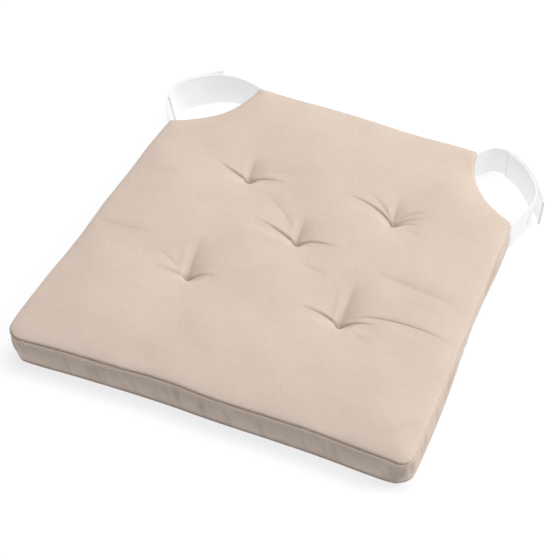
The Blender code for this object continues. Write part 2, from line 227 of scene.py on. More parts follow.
# Heat-sealed ends of the tapes, darkened further with painted shade.
SEALED_END_AND_SHADE = (0.12, 0.12, 0.12, 1.0)
FOAM_DARK = (0.70, 0.62, 0.38, 1.0)
FOAM_LIGHT = (0.86, 0.80, 0.58, 1.0)
THREAD_DARK = (0.46, 0.40, 0.35, 1.0)
THREAD_LIGHT = (0.60, 0.53, 0.47, 1.0)
FLOOR_DARK = (0.32, 0.32, 0.32, 1.0)
FLOOR_LIGHT = (0.34, 0.34, 0.34, 1.0)
GLOW_COLOUR = (0.97, 0.98, 1.0, 1.0)
# Painted light: the tapes glow to lift their shaded faces.
TAPE_PAINTED_GLOW = 0.58
FLOOR_GLOW = 0.73
FLOOR_REACH = 30.0          # half of the floor's side, m
FLOOR_DROP = 0.4 * MM       # below the pad, so that they don't share a plane
WORLD_GLOW = 0.10
LIGHTS = {"key": ((2.45, 1.5, 2.05), 2.4, 80.0),        # place, disk size in m, watts
          "overhead": ((-0.2, 0.6, 3.0), 2.6, 70.0)}


# ---- reading the frame

def plan_loops(node, facing):
    """Border loops, in plan, of a node's faces that look up (1) or down (-1), the longest last."""
    mesh = frame["nodes"][node].data
    sides = set()
    for face in mesh.polygons:
        if face.normal.z * facing > 0.5:
            keys = [tuple(round(c, 5) for c in mesh.vertices[i].co[:2]) for i in face.vertices]
            sides |= set(zip(keys, keys[1:] + keys[:1]))
    border = {a: b for a, b in sides if (b, a) not in sides}
    loops = []
    while border:
        start, point = border.popitem()
        loop = [start]
        while point != start:
            loop.append(point)
            point = border.pop(point)
        loops.append([Vector(p) for p in loop])
    return sorted(loops, key=len)


def turn_at(before, point, after):
    """The turn of a path at the point, positive to the left."""
    return (point - before).angle_signed(after - point, 0.0) * -1


def catmull(points):
    """A smooth curve through the points."""
    ends = [points[0] * 2 - points[1]] + list(points) + [points[-1] * 2 - points[-2]]
    curve = [points[0].copy()]
    for a, b, c, d in zip(ends, ends[1:], ends[2:], ends[3:]):
        for i in range(1, CURVE_STEPS + 1):
            t = i / CURVE_STEPS
            rise = (c - a) * t + (a * 2 - b * 5 + c * 4 - d) * t * t
            curve.append(b + (rise + (b * 3 - a - c * 3 + d) * t ** 3) / 2)
    return curve


def travelled(points):
    """How far along the path each of its points lies."""
    return np.concatenate([[0], np.cumsum(np.linalg.norm(np.diff(points, axis=0), axis=1))])


def at_travel(points, wanted):
    """The path's points at the wanted distances along it."""
    travel = travelled(points)
    return np.stack([np.interp(wanted, travel, column) for column in points.T], axis=1)


def resampled(points, count):
    """The path as the given number of evenly spaced points, with both ends kept."""
    table = np.array([tuple(p) for p in points])
    return at_travel(table, np.linspace(0, travelled(table)[-1], count))


def even(points, step):
    """The path as points about a step apart, with both ends kept."""
    table = np.array([tuple(p) for p in points])
    return resampled(table, max(2, round(travelled(table)[-1] / step)) + 1)


def outline_runs(step):
    """The pad's outline as four smooth runs between the sewn corners, anticlockwise."""
    loop = plan_loops("top_panel", 1)[-1]
    count = len(loop)
    sharp = [i for i in range(count)
             if abs(turn_at(loop[i - 1], loop[i], loop[(i + 1) % count])) > SHARP_TURN]
    runs = []
    for first, last in zip(sharp, sharp[1:] + [sharp[0] + count]):
        runs.append([loop[i % count] for i in range(first, last + 1)])
    front = min(range(len(runs)), key=lambda i: min(p.y for p in runs[i]))
    runs = runs[front:] + runs[:front]
    return [even(catmull(run), step) for run in runs]


def tuft_centres():
    """Each tuft's place in plan, by the end of its node's name."""
    centres = {}
    for node in frame["nodes"]:
        if node.startswith("tuft_"):
            low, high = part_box(node)
            centres[node[5:]] = np.array([(low.x + high.x) / 2, (low.y + high.y) / 2])
    return centres


def hinge_of(body):
    """Where the body's hinge stands, in plan."""
    for joint in frame["joints"]:
        if joint["child"] == body:
            return Vector(joint["pos_m"][:2])
    raise ValueError(body)


def tape_line(node, facing):
    """The middle line of a tape's upper (1) or lower (-1) edge, from its root to its tip."""
    loop = plan_loops(node, facing)[-1]
    count = len(loop)
    corners = sorted(range(count), reverse=True, key=lambda i: abs(
        turn_at(loop[i - 1], loop[i], loop[(i + 1) % count])))[:4]
    corners.sort()
    sides = []
    for first, last in zip(corners, corners[1:] + [corners[0] + count]):
        sides.append([loop[i % count] for i in range(first, last + 1)])
    hinge = hinge_of(node)
    long_sides = sorted(sides, key=lambda s: sum((b - a).length for a, b in zip(s, s[1:])))[-2:]
    lines = []
    for side in long_sides:
        if (side[0] - hinge).length > (side[-1] - hinge).length:
            side = side[::-1]
        lines.append(resampled(side, TAPE_POINTS))
    return (lines[0] + lines[1]) / 2


# ---- plan of the panels

def left_normals(points, closed):
    """Normals on the left of the direction of travel, lengthened to meet at mitred corners."""
    if closed:
        before = points - np.roll(points, 1, axis=0)
        after = np.roll(points, -1, axis=0) - points
    else:
        steps = np.diff(points, axis=0)
        before = np.concatenate([steps[:1], steps])
        after = np.concatenate([steps, steps[-1:]])
    before /= np.linalg.norm(before, axis=1)[:, None]
    after /= np.linalg.norm(after, axis=1)[:, None]
    total = np.stack([-before[:, 1] - after[:, 1], before[:, 0] + after[:, 0]], axis=1)
    return total / (1 + (before * after).sum(1))[:, None]


def inset(outline, distance):
    """The outline moved inward."""
    return outline + left_normals(outline, True) * distance


def off_segments(points, start, span):
    """The offset of each point from each segment, and the share of the segment it is at."""
    block = points[:, None, :] - start[None]
    share = np.clip((block * span).sum(2) / (span ** 2).sum(1), 0, 1)
    return block - share[..., None] * span, share


def edge_distance(points, outline):
    """How far each point is from the outline."""
    span = np.roll(outline, -1, axis=0) - outline
    nearest = np.empty(len(points))
    for first in range(0, len(points), BLOCK):
        away, _ = off_segments(points[first:first + BLOCK], outline, span)
        nearest[first:first + BLOCK] = np.sqrt((away ** 2).sum(2).min(1))
    return nearest


def crease_path(centre, crease):
    """Plan points of a tuft's crease, which turns evenly from one heading to the other."""
    first, last, length, _, _, _, start = crease
    count = max(4, round(length / CREASE_STEP))
    headings = np.radians(np.linspace(first, last, count + 1))
    steps = np.stack([np.cos(headings), np.sin(headings)], axis=1) * length / count * MM
    path = centre + np.concatenate([[[0.0, 0.0]], np.cumsum(steps[:-1], axis=0)])
    return path[np.linalg.norm(path - centre, axis=1) >= start * MM * 0.98]


def fold_path(fold):
    """Plan points of a long fold, a curve bent towards its middle point."""
    a, b, c = (np.array(p) * MM for p in fold[:3])
    count = max(6, round(np.linalg.norm(c - a) / FOLD_STEP))
    t = np.linspace(0, 1, count + 1)[:, None]
    return a * (1 - t) ** 2 + b * 2 * t * (1 - t) + c * t * t


def crease_lines(centres):
    """Every crease and fold: its path, depth, left and right width, and whether it fades in."""
    lines = []
    for name, creases in CREASES.items():
        for crease in creases:
            path = crease_path(centres[name], crease)
            depth, left, right = (value * MM for value in crease[3:6])
            lines.append((path, depth, left, right, crease[6] > FADE_FROM))
    for fold in FOLDS:
        depth, left, right = (value * MM for value in fold[3:])
        lines.append((fold_path(fold), depth, left, right, True))
    return lines


class Spread:
    """Points no nearer to each other than each one's spacing allows."""

    def __init__(self):
        self.points, self.cells = [], {}
        self.cell = 1.2 * MM

    def add(self, point, clear):
        column, row = int(point[0] // self.cell), int(point[1] // self.cell)
        reach = int(clear // self.cell) + 1
        for i in range(column - reach, column + reach + 1):
            for j in range(row - reach, row + reach + 1):
                for other in self.cells.get((i, j), ()):
                    if (other[0] - point[0]) ** 2 + (other[1] - point[1]) ** 2 < clear ** 2:
                        return
        self.cells.setdefault((column, row), []).append(point)
        self.points.append(point)


def grid_points(low, high, spacing):
    """A triangular grid of points over a rectangle."""
    rows = np.arange(low[1], high[1], spacing * math.sqrt(0.75))
    found = []
    for index, y in enumerate(rows):
        xs = np.arange(low[0] + (index % 2) * spacing / 2, high[0], spacing)
        found.append(np.stack([xs, np.full(len(xs), y)], axis=1))
    return np.concatenate(found)


def plan_mesh(outline, rings, grid, centres=(), lines=()):
    """The panel in plan: its points, the first of them on the outline, and its triangles.

    It is finer round the centres and along the lines.
    """
    loops = [outline] + [inset(outline, ring) for ring in rings]
    spread = Spread()
    for loop in loops:
        for point in loop:
            spread.add(tuple(point), RIM_CLEAR)
    fixed = len(spread.points)
    for path, _, left, right, _ in lines:
        normals = left_normals(path, False)
        offsets, clear = SOFT_ROWS, SOFT_CLEAR
        if min(left, right) < SHARP_WIDTH:
            offsets, clear = SHARP_ROWS, SHARP_CLEAR
        for offset in offsets:
            for point in path + normals * offset * MM:
                spread.add(tuple(point), clear)
    for centre in centres:
        for point in grid_points(centre - TUFT_ZONE, centre + TUFT_ZONE, TUFT_GRID):
            if np.hypot(*(point - centre)) < TUFT_ZONE:
                spread.add(tuple(point), TUFT_CLEAR)
    for point in grid_points(outline.min(0), outline.max(0), grid):
        spread.add(tuple(point), grid * BODY_CLEAR)
    points = np.array(spread.points)
    away = edge_distance(points, outline)
    inside = winding(points, outline)
    limit = rings[-1] + grid * 0.4
    keep = [i for i in range(len(points)) if i < fixed or (inside[i] and away[i] > limit)]
    points = points[keep]
    count = len(outline)
    edges = [(i, (i + 1) % count) for i in range(count)]
    verts, _, faces, _, _, _ = delaunay_2d_cdt([Vector(p) for p in points], edges, [], 1, 1e-7)
    return np.array([tuple(v) for v in verts]), [list(face) for face in faces]


def winding(points, outline):
    """Whether each point is inside the outline."""
    crossings = np.zeros(len(points), int)
    for a, b in zip(outline, np.roll(outline, -1, axis=0)):
        spans = (a[1] > points[:, 1]) != (b[1] > points[:, 1])
        if spans.any():
            across = a[0] + (points[:, 1] - a[1]) * (b[0] - a[0]) / (b[1] - a[1])
            crossings += spans & (points[:, 0] < across)
    return crossings % 2 == 1


# ---- shape of the cover

def profile(table, distance):
    """Height from a table of millimetres, in straight lines between its rows."""
    rows = np.array(table) * MM
    return np.interp(distance, rows[:, 0], rows[:, 1])


def polar(points, centre):
    """Distance and direction of each point from the centre."""
    x, y = (points - centre).T
    return np.hypot(x, y), np.arctan2(y, x)


def under_dimple(radius):
    """How far the underside is drawn up at a distance from a tuft."""
    return UNDER_DEPTH * np.exp(-(radius / UNDER_RADIUS) ** UNDER_POWER)


def dimples(points, centres):
    """Depth of the tuft dimples in the top."""
    total = np.zeros(len(points))
    for centre in centres.values():
        radius, turn = polar(points, centre)
        skew = 1 + CONE_SKEW * np.cos(turn - CONE_FACES) * np.clip(radius / CONE_RADIUS, 0, 1)
        total += PIT_DEPTH * np.exp(-(radius / PIT_RADIUS) ** 2)
        total += CONE_DEPTH * skew * np.exp(-radius / CONE_RADIUS)
    return total


def crease_depths(points, lines):
    """How far each point is drawn down by the creases and folds."""
    total = np.zeros(len(points))
    for path, depth, left, right, fades in lines:
        reach = 6 * max(left, right)
        near = ((points > path.min(0) - reach) & (points < path.max(0) + reach)).all(1)
        if not near.any():
            continue
        chosen = points[near]
        span = np.diff(path, axis=0)
        away, share = off_segments(chosen, path[:-1], span)
        distance = np.sqrt((away ** 2).sum(2))
        best = distance.argmin(1)
        rows = np.arange(len(chosen))
        offset = away[rows, best]
        along = (best + share[rows, best]) / len(span)
        side = np.sign(span[best, 0] * offset[:, 1] - span[best, 1] * offset[:, 0])
        width = np.where(side > 0, left, right) * (WIDTH_START + WIDTH_GAIN * along)
        ratio = distance[rows, best] / width
        strength = depth * (1 - along ** 2) ** 1.3
        if fades:
            strength = depth * np.sin(math.pi * np.clip(along, 0, 1)) ** 0.8
        rim = SHOULDER * np.exp(-(ratio - SHOULDER_AT) ** 2)
        total[near] += strength * (np.exp(-ratio ** CUSP) - rim)
    return total


def wander(points, scale, seed):
    """Smooth noise, about -1 to 1, that repeats on every run."""
    return np.array([noise.noise(Vector((p[0] / scale, p[1] / scale, seed))) for p in points])


def warp(verts):
    """Lets the outline and the seams wander, away from the tufts, and draws the sides in."""
    points = verts[:, :2]
    free = np.ones(len(verts))
    for centre in tuft_centres().values():
        free *= 1 - np.exp(-((points - centre) ** 2).sum(1) / CALM ** 2)
    lift = np.clip(verts[:, 2] / TOP_Z, 0, 1)
    low = np.clip(1 - verts[:, 2] / SEAM_Z, 0, 1) ** 1.2
    reach = SWAY * (0.5 + 0.5 * lift) * free
    moved = verts.copy()
    moved[:, 0] += wander(points, SWAY_X, 1.5) * reach
    moved[:, 1] += wander(points, SWAY_Y, 7.5) * reach
    ripple = wander(points, SEAM_LONG, 3.5) + 0.2 * wander(points, SEAM_SHORT, 9.5)
    moved[:, 2] += ripple * SEAM_SWAY * lift * free
    for centre, reach, shift, share in TUCKS:
        away = (points / MM - centre) / reach
        weight = np.exp(-(away ** 2).sum(1)) * (share + (1 - share) * low)
        moved[:, :2] += np.outer(weight, shift) * MM
    return moved


# ---- meshes

def ring_quads(upper, lower):
    """The faces between two rings of the same number of points."""
    count = len(upper)
    return [(upper[(i + 1) % count], upper[i], lower[i], lower[(i + 1) % count])
            for i in range(count)]


def add_mesh(name, verts, faces, material, coords=None, shade=True, painted_shade_and_sealed_end=None):
    """A mesh object, with the weave's places and the painted shade of creases, puckers and
    heat-sealed tape ends as attributes.
    """
    mesh = bpy.data.meshes.new(name)
    mesh.from_pydata([tuple(v) for v in verts], [], faces)
    mesh.validate()
    if coords is not None:
        attribute = mesh.attributes.new("cloth", "FLOAT_VECTOR", "POINT")
        attribute.data.foreach_set("vector", np.asarray(coords, np.float32).reshape(-1))
    # painted shade of the creases and puckers, and the tapes' heat-sealed ends
    if painted_shade_and_sealed_end is not None:
        attribute = mesh.attributes.new("fold", "FLOAT", "POINT")
        attribute.data.foreach_set("value", np.asarray(painted_shade_and_sealed_end, np.float32))
    if material:
        mesh.materials.append(material)
    obj = bpy.data.objects.new(name, mesh)
    SCENE.collection.objects.link(obj)
    if shade:
        mesh.shade_smooth()
    return obj


def raised(plan, height):
    """Plan points with a height each, or one for all."""
    return np.column_stack([plan, np.broadcast_to(height, len(plan))])


def strip_coords(travel, height, seed):
    """The weave's places on a strip: along it and up it, with the strip's own number."""
    return np.column_stack(np.broadcast_arrays(travel, height, seed))


def thickened(obj):
    """Gives the sheet the fabric's thickness, inward, as plain mesh."""
    modifier = obj.modifiers.new("cloth thickness", "SOLIDIFY")
    modifier.thickness = FABRIC
    modifier.offset = -1
    bpy.context.view_layer.update()
    graph = bpy.context.evaluated_depsgraph_get()
    mesh = bpy.data.meshes.new_from_object(obj.evaluated_get(graph))
    old, name = obj.data, obj.data.name
    obj.modifiers.clear()
    obj.data = mesh
    bpy.data.meshes.remove(old)
    mesh.name = name


def swelled_cover(outline, centres):
    """A cloth simulation of the closed cover under pressure: rest and swelled points, faces."""
    plan, faces = plan_mesh(outline, COARSE_RINGS, COARSE_EDGE)
    distance = edge_distance(plan, outline)
    top = SEAM_Z + profile(ROLL, distance) - dimples(plan, centres) - START_DROP
    count, rim = len(plan), len(outline)
    verts = np.concatenate([raised(plan, top), raised(plan, profile(HEM, distance))]
                           + [raised(outline, height) for height in WALL_ROWS])
    starts = [0] + [2 * count + i * rim for i in range(len(WALL_ROWS))] + [count]
    belts = [list(range(start, start + rim)) for start in starts]
    faces = faces + [[i + count for i in reversed(face)] for face in faces]
    for above, below in zip(belts, belts[1:]):
        faces += ring_quads(above, below)
    obj = add_mesh("swelling", verts, faces, None)
    pins = obj.vertex_groups.new(name="pins")
    pins.add(list(range(count, 2 * count)), 1.0, "REPLACE")
    pins.add(belts[0], RIM_PIN, "REPLACE")
    for centre in centres.values():
        near = np.nonzero(polar(plan, centre)[0] < TUFT_PIN)[0]
        pins.add([int(i) for i in near], 1.0, "REPLACE")
    cloth = obj.modifiers.new("Cloth", "CLOTH")
    settings = cloth.settings
    settings.vertex_group_mass = "pins"
    settings.use_pressure = True
    settings.uniform_pressure_force = PRESSURE
    settings.effector_weights.gravity = 0.0
    settings.shrink_min = CLOTH_SHRINK
    settings.bending_stiffness = CLOTH_STIFFNESS
    cloth.point_cache.frame_end = SIM_FRAMES
    for step in range(1, SIM_FRAMES + 1):
        SCENE.frame_set(step)
    graph = bpy.context.evaluated_depsgraph_get()
    mesh = obj.evaluated_get(graph).to_mesh()
    after = np.empty(len(verts) * 3)
    mesh.vertices.foreach_get("co", after)
    moves = evened(after.reshape(-1, 3) - verts, faces) * SWELL_SHARE
    length = np.linalg.norm(moves, axis=1)[:, None]
    moves *= np.minimum(1, SWELL_CAP / np.maximum(length, 1e-9))
    SCENE.frame_set(1)
    bpy.data.objects.remove(obj)
    print("cloth moved the cover by up to", round(float(length.max()) / MM, 2), "mm")
    return verts, verts + moves, faces


def evened(moves, faces):
    """The movement with the fabric's small rumples smoothed out."""
    pairs = np.array([(face[i - 1], face[i]) for face in faces for i in range(len(face))])
    pairs = np.concatenate([pairs, pairs[:, ::-1]])
    count = np.bincount(pairs[:, 0], minlength=len(moves))[:, None]
    for _ in range(SMOOTHING):
        total = np.stack([np.bincount(pairs[:, 0], moves[pairs[:, 1], axis], len(moves))
                          for axis in range(3)], axis=1)
        moves = (moves + total / count) / 2
    return moves


class Swell:
    """Carries the simulated movement over to finer meshes."""

    def __init__(self, outline, centres):
        self.tree = None
        rest, moved, faces = swelled_cover(outline, centres)
        self.triangles = [face[:3] for face in faces]
        self.triangles += [[face[0], face[2], face[3]] for face in faces if len(face) == 4]
        self.rest, self.moved = ([Vector(v) for v in verts] for verts in (rest, moved))
        self.tree = BVHTree.FromPolygons(self.rest, self.triangles)

    def move(self, verts):
        """The points, each moved as the nearest place on the simulated cover moved."""
        if self.tree is None:
            return verts
        result = np.array(verts)
        for i, vert in enumerate(verts):
            place, _, index, _ = self.tree.find_nearest(Vector(vert))
            corners = self.triangles[index]
            rest = [self.rest[k] for k in corners]
            moved = [self.moved[k] for k in corners]
            result[i] += barycentric_transform(place, *rest, *moved) - place
        return result


def panel(plan, faces, heights, tuck, outline, up, seed):
    """A cover panel: its height field and the rows that tuck its edge into the seam."""
    rim = len(outline)
    verts, coords = raised(plan, heights), raised(plan, seed)
    faces = list(faces) if up else [face[::-1] for face in faces]
    ring = list(range(rim))
    for inward, height in tuck:
        loop = inset(outline, inward * MM)
        first = len(verts)
        verts = np.concatenate([verts, raised(loop, height)])
        coords = np.concatenate([coords, raised(loop, seed)])
        below = list(range(first, first + rim))
        faces += [quad if up else quad[::-1] for quad in ring_quads(ring, below)]
        ring = below
    return verts, faces, coords


def build_top(swell, outline, centres, lines, material):
    plan, faces = plan_mesh(outline, FINE_RINGS, FINE_GRID, centres.values(), lines)
    distance = edge_distance(plan, outline)
    heights = SEAM_Z + profile(ROLL, distance) - dimples(plan, centres)
    tuck = [(inward, SEAM_Z + up * MM) for inward, up in TOP_TUCK]
    verts, faces, coords = panel(plan, faces, heights, tuck, outline, True, 0.0)
    verts = swell.move(verts)
    depths = crease_depths(plan, lines) * np.clip(distance / CREASE_CALM, 0.15, 1)
    verts[:len(plan), 2] -= depths
    # Painted shade: the top is darkened towards the bottoms of its creases.
    painted_shade_and_sealed_end = np.zeros(len(verts))
    painted_shade_and_sealed_end[:len(plan)] = np.clip(depths / CREASE_SHADE_DEPTH, 0, 1)
    top = add_mesh("cover_top", warp(verts), faces, material, coords, painted_shade_and_sealed_end=painted_shade_and_sealed_end)
    thickened(top)
    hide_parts("top_panel")
    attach(top, "pad")
    return top


def build_bottom(outline, centres, material):
    plan, faces = plan_mesh(outline, FINE_RINGS[1::2], UNDER_GRID)
    heights = profile(HEM, edge_distance(plan, outline))
    lift = np.zeros(len(plan))
    for centre in centres.values():
        radius, turn = polar(plan, centre)
        wave = np.cos(PLEATS * turn + PLEAT_TURN) * np.clip(radius / UNDER_RADIUS, 0, 1)
        lift += under_dimple(radius) * (1 + PLEAT_SHARE * wave)
    tuck = [(inward, up * MM) for inward, up in HEM_TUCK]
    verts, faces, coords = panel(plan, faces, heights + lift, tuck, outline, False, 1.0)
    bottom = add_mesh("cover_bottom", warp(verts), faces, material, coords)
    thickened(bottom)
    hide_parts("bottom_panel")
    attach(bottom, "pad")


def trimmed(run, cut):
    """The run of points shortened at both ends."""
    return at_travel(run, np.linspace(cut[0], travelled(run)[-1] - cut[1], len(run)))


def corner_cut(before, corner, after):
    """How much of an edge the tape's slot takes at a sewn corner."""
    a, b = Vector(before - corner), Vector(after - corner)
    return SLOT_HALF / math.sin(a.angle(b) / 2)


def build_bands(swell, runs, material):
    """The four boxing bands, each along its run of the outline."""
    for index, (name, run) in enumerate(zip(BANDS, runs)):
        before, after = runs[index - 1], runs[(index + 1) % len(runs)]
        cut = (corner_cut(before[-2], run[0], run[1]), corner_cut(run[-2], run[-1], after[1]))
        path = trimmed(run, cut)
        outward = -left_normals(path, False)
        travel = travelled(path)
        verts, coords, painted_shade_and_sealed_end = [], [], []
        for offset, height in BAND_SECTION:
            height, offset = height * MM, offset * MM
            rise = min(max((height - PUCKER_FOOT) / PUCKER_REACH, 0), 1)
            ripple = band_ripple(path, travel, height, index) * math.sin(math.pi * rise)
            verts.append(raised(path + outward * (offset + ripple)[:, None], height))
            # Painted shade: the band is darkened in the hollows of its puckers.
            painted_shade_and_sealed_end.append(np.clip(-2 * ripple / PUCKER, 0, 1))
            coords.append(strip_coords(travel, height, 2.0 + index))
        count, rows = len(path), len(BAND_SECTION)
        faces = [(r * count + i, (r + 1) * count + i, (r + 1) * count + i + 1, r * count + i + 1)
                 for r in range(rows - 1) for i in range(count - 1)]
        verts = warp(swell.move(np.concatenate(verts)))
        band = add_mesh(f"cover_band_{name}", verts, faces, material, np.concatenate(coords),
                        painted_shade_and_sealed_end=np.concatenate(painted_shade_and_sealed_end))
        thickened(band)
        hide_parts(f"band_{name}")
        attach(band, "pad")


def band_ripple(path, travel, height, seed):
    """Upright puckers in a boxing band, strongest where it turns a corner."""
    bend = np.abs(np.gradient(np.unwrap(np.arctan2(*np.gradient(path, axis=0).T[::-1]))))
    bend = np.convolve(bend, np.ones(15) / 15, "same")
    strength = 0.7 + np.clip(bend * 9, 0, 0.9)
    lean = 0.25 * height
    values = [noise.noise(Vector(((s + lean) / 0.0065, height / 0.06, seed + 4.5))) * 1.2
              + noise.noise(Vector(((s - lean) / 0.021, height / 0.08, seed + 8.5))) * 1.3
              for s in travel]
    return np.array(values) * strength * PUCKER


def build_foam(swell, outline, centres, lines, material):
    """The slab inside the cover, bored for each tuft's thread and following the dimples."""
    border = inset(outline, FOAM_INSET)
    plan, faces = plan_mesh(border, FOAM_RINGS, FOAM_GRID)
    distance = edge_distance(plan, border) + FOAM_INSET
    upper = swell.move(raised(plan, SEAM_Z + profile(ROLL, distance) - dimples(plan, centres)))
    upper[:, 2] -= crease_depths(plan, lines) + FABRIC + FOAM_GAP
    lower = raised(plan, FOAM_FLOOR)
    for centre in centres.values():
        lower[:, 2] += 1.2 * under_dimple(polar(plan, centre)[0])
    count = len(plan)
    bored = [face for face in faces if min(
        np.hypot(*(plan[list(face)].mean(0) - centre)) for centre in centres.values()) > BORE]
    sides = {(face[i - 1], face[i]) for face in bored for i in range(len(face))}
    walls = [(b, a, a + count, b + count) for a, b in sorted(sides) if (b, a) not in sides]
    faces = bored + [[i + count for i in reversed(face)] for face in bored] + walls
    foam = add_mesh("foam_slab", warp(np.concatenate([upper, lower])), faces, material)
    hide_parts("foam_core")
    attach(foam, "pad")


# ---- thread

def tube(x, y, z, radius, sides=8):
    """A round thread along the points of three coordinate rows, narrower at its ends."""
    points = np.column_stack(np.broadcast_arrays(x, y, z))
    along = np.gradient(points, axis=0)
    along /= np.linalg.norm(along, axis=1)[:, None]
    verts, faces = [], []
    side = np.cross(along[0], [0.13, 0.57, 0.81])
    for i, (point, forward) in enumerate(zip(points, along)):
        side = side - forward * side.dot(forward)
        side /= np.linalg.norm(side)
        up = np.cross(forward, side)
        size = radius * (0.55 if i in (0, len(points) - 1) else 1.0)
        for k in range(sides):
            turn = 2 * math.pi * k / sides
            verts.append(point + (side * math.cos(turn) + up * math.sin(turn)) * size)
    for i in range(len(points) - 1):
        a, b = i * sides, (i + 1) * sides
        faces += [(a + k, a + (k + 1) % sides, b + (k + 1) % sides, b + k) for k in range(sides)]
    faces.append(list(reversed(range(sides))))
    last = (len(points) - 1) * sides
    faces.append([last + k for k in range(sides)])
    return np.array(verts), faces


def joined(parts):
    """Several (points, faces) as one."""
    verts, faces, total = [], [], 0
    for part_verts, part_faces in parts:
        verts.append(part_verts)
        faces += [[i + total for i in face] for face in part_faces]
        total += len(part_verts)
    return np.concatenate(verts), faces


def build_tufts(top, centres, material):
    """At each tuft, a bar of wrapped thread in the top and one below, and the thread between."""
    cover = BVHTree.FromObject(top, bpy.context.evaluated_depsgraph_get())
    for name, centre in centres.items():
        low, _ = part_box(f"tuft_{name}")
        pit = cover.ray_cast(Vector((*centre, 1.0)), Vector((0, 0, -1)))[0]
        half, upper, lower = STITCH_HALF, pit.z - 0.25 * MM, low.z + 0.9 * MM
        parts = []
        for height, sign in ((upper, 1), (lower, -1)):
            for lane in (-STITCH_LANE, 0.0, STITCH_LANE):
                xs = np.linspace(-half, half, 9)
                arch = (1 - (xs / half) ** 2) * 0.35 * MM + (0.25 if lane == 0 else 0) * MM
                dip = np.where(np.abs(xs) > half * 0.99, -0.9 * MM, 0)
                parts.append(tube(centre[0] + xs, centre[1] + lane * MM * 0.8,
                                  height + sign * (arch + dip), STITCH_RADIUS))
            for x in np.linspace(-half * 0.72, half * 0.72, 6):
                turns = np.linspace(-0.15 * math.pi, 1.15 * math.pi, 9)
                parts.append(tube(
                    centre[0] + x + turns * 0.06 * MM, centre[1] + 0.75 * MM * np.cos(turns),
                    height + sign * (0.62 * MM * np.sin(turns) - 0.15 * MM), WRAP_RADIUS))
        for side in (-0.5, 0.5):
            parts.append(tube(centre[0] + side * MM, centre[1], np.linspace(lower, upper, 12),
                              STRAND_RADIUS))
        verts, faces = joined(parts)
        stitch = add_mesh(f"stitch_{name}", verts, faces, material)
        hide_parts(f"tuft_{name}")
        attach(stitch, "pad")


# ---- tapes

def tape_frames(node):
    """Stations along a tape: upper and lower edge points and the distance travelled."""
    upper, lower = tape_line(node, 1), tape_line(node, -1)
    hinge = hinge_of(node)
    low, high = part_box(f"tail_{node[5:]}")
    inner = Vector(((low.x + high.x) / 2, (low.y + high.y) / 2))
    inner = hinge + (inner - hinge) * TAIL_REACH
    lead = np.array([tuple(inner), tuple(inner.lerp(hinge, 0.55))])
    upper = even(np.concatenate([lead, upper]), TAPE_STEP)
    lower = resampled(np.concatenate([lead, lower]), len(upper))
    for _ in range(3):
        upper[1:-1] = (upper[:-2] + 2 * upper[1:-1] + upper[2:]) / 4
        lower[1:-1] = (lower[:-2] + 2 * lower[1:-1] + lower[2:]) / 4
    return upper, lower, travelled(upper)


def strip(upper, lower, travel, section, low, high):
    """A solid strip from a section of (height share, offset) points round the tape."""
    normals = left_normals(upper, False)
    normals /= np.linalg.norm(normals, axis=1)[:, None]
    verts, coords = [], []
    for share, offset in section:
        line = lower + (upper - lower) * share + normals * np.asarray(offset)[..., None]
        height = low + (high - low) * share
        verts.append(raised(line, height))
        coords.append(strip_coords(travel, height, 9.0))
    count, rows = len(upper), len(section)
    faces = [(r * count + i, r * count + i + 1, (r + 1) % rows * count + i + 1,
              (r + 1) % rows * count + i) for r in range(rows) for i in range(count - 1)]
    faces.append([r * count for r in range(rows)])
    faces.append([r * count + count - 1 for r in reversed(range(rows))])
    return np.concatenate(verts), faces, np.concatenate(coords)


def web_section(width, mating):
    """Webbing with a thicker woven selvedge along each edge; its mating face lies back."""
    edge = SELVEDGE_WIDTH / width
    face = 0.25 * MM
    shares = [0.0, edge * 0.25, edge * 0.5, edge * 0.8, edge, edge * 1.3, 0.3, 0.5, 0.7,
              1 - edge * 1.3, 1 - edge, 1 - edge * 0.8, 1 - edge * 0.5, 1 - edge * 0.25, 1.0]
    swell = [0.35, 0.85, 1.0, 0.85, 0.15, 0.3, 0.3, 0.3, 0.3, 0.3, 0.15, 0.85, 1.0, 0.85, 0.35]
    backs = [-(WEB_HALF + (SELVEDGE_HALF - WEB_HALF) * s) if s > 0.3 else -WEB_HALF * 1.05
             for s in swell]
    backs[0] = backs[-1] = -EDGE_OFFSET
    fronts = [SELVEDGE_HALF * s if s > 0.3 else face for s in swell]
    fronts[0] = fronts[-1] = EDGE_OFFSET
    around = zip(shares + shares[::-1], backs + fronts[::-1])
    return [(share, offset * mating) for share, offset in around]


def pile_section(width, count, mating, seed):
    """The hook or loop pile: a raised, uneven strip between the selvedges."""
    margin = PILE_INSET / width
    shares = np.linspace(margin, 1 - margin, 12)
    section = [(share, np.full(count, 0.1 * MM * mating)) for share in shares]
    for row, share in enumerate(reversed(shares)):
        rough = np.array([noise.noise(Vector((i * 1.7, row * 2.3, seed))) for i in range(count)])
        top = PILE_TOP - 0.12 * MM + rough * 0.12 * MM
        if row in (0, len(shares) - 1):
            top = np.full(count, EDGE_OFFSET)
        section.append((share, top * mating))
    return section


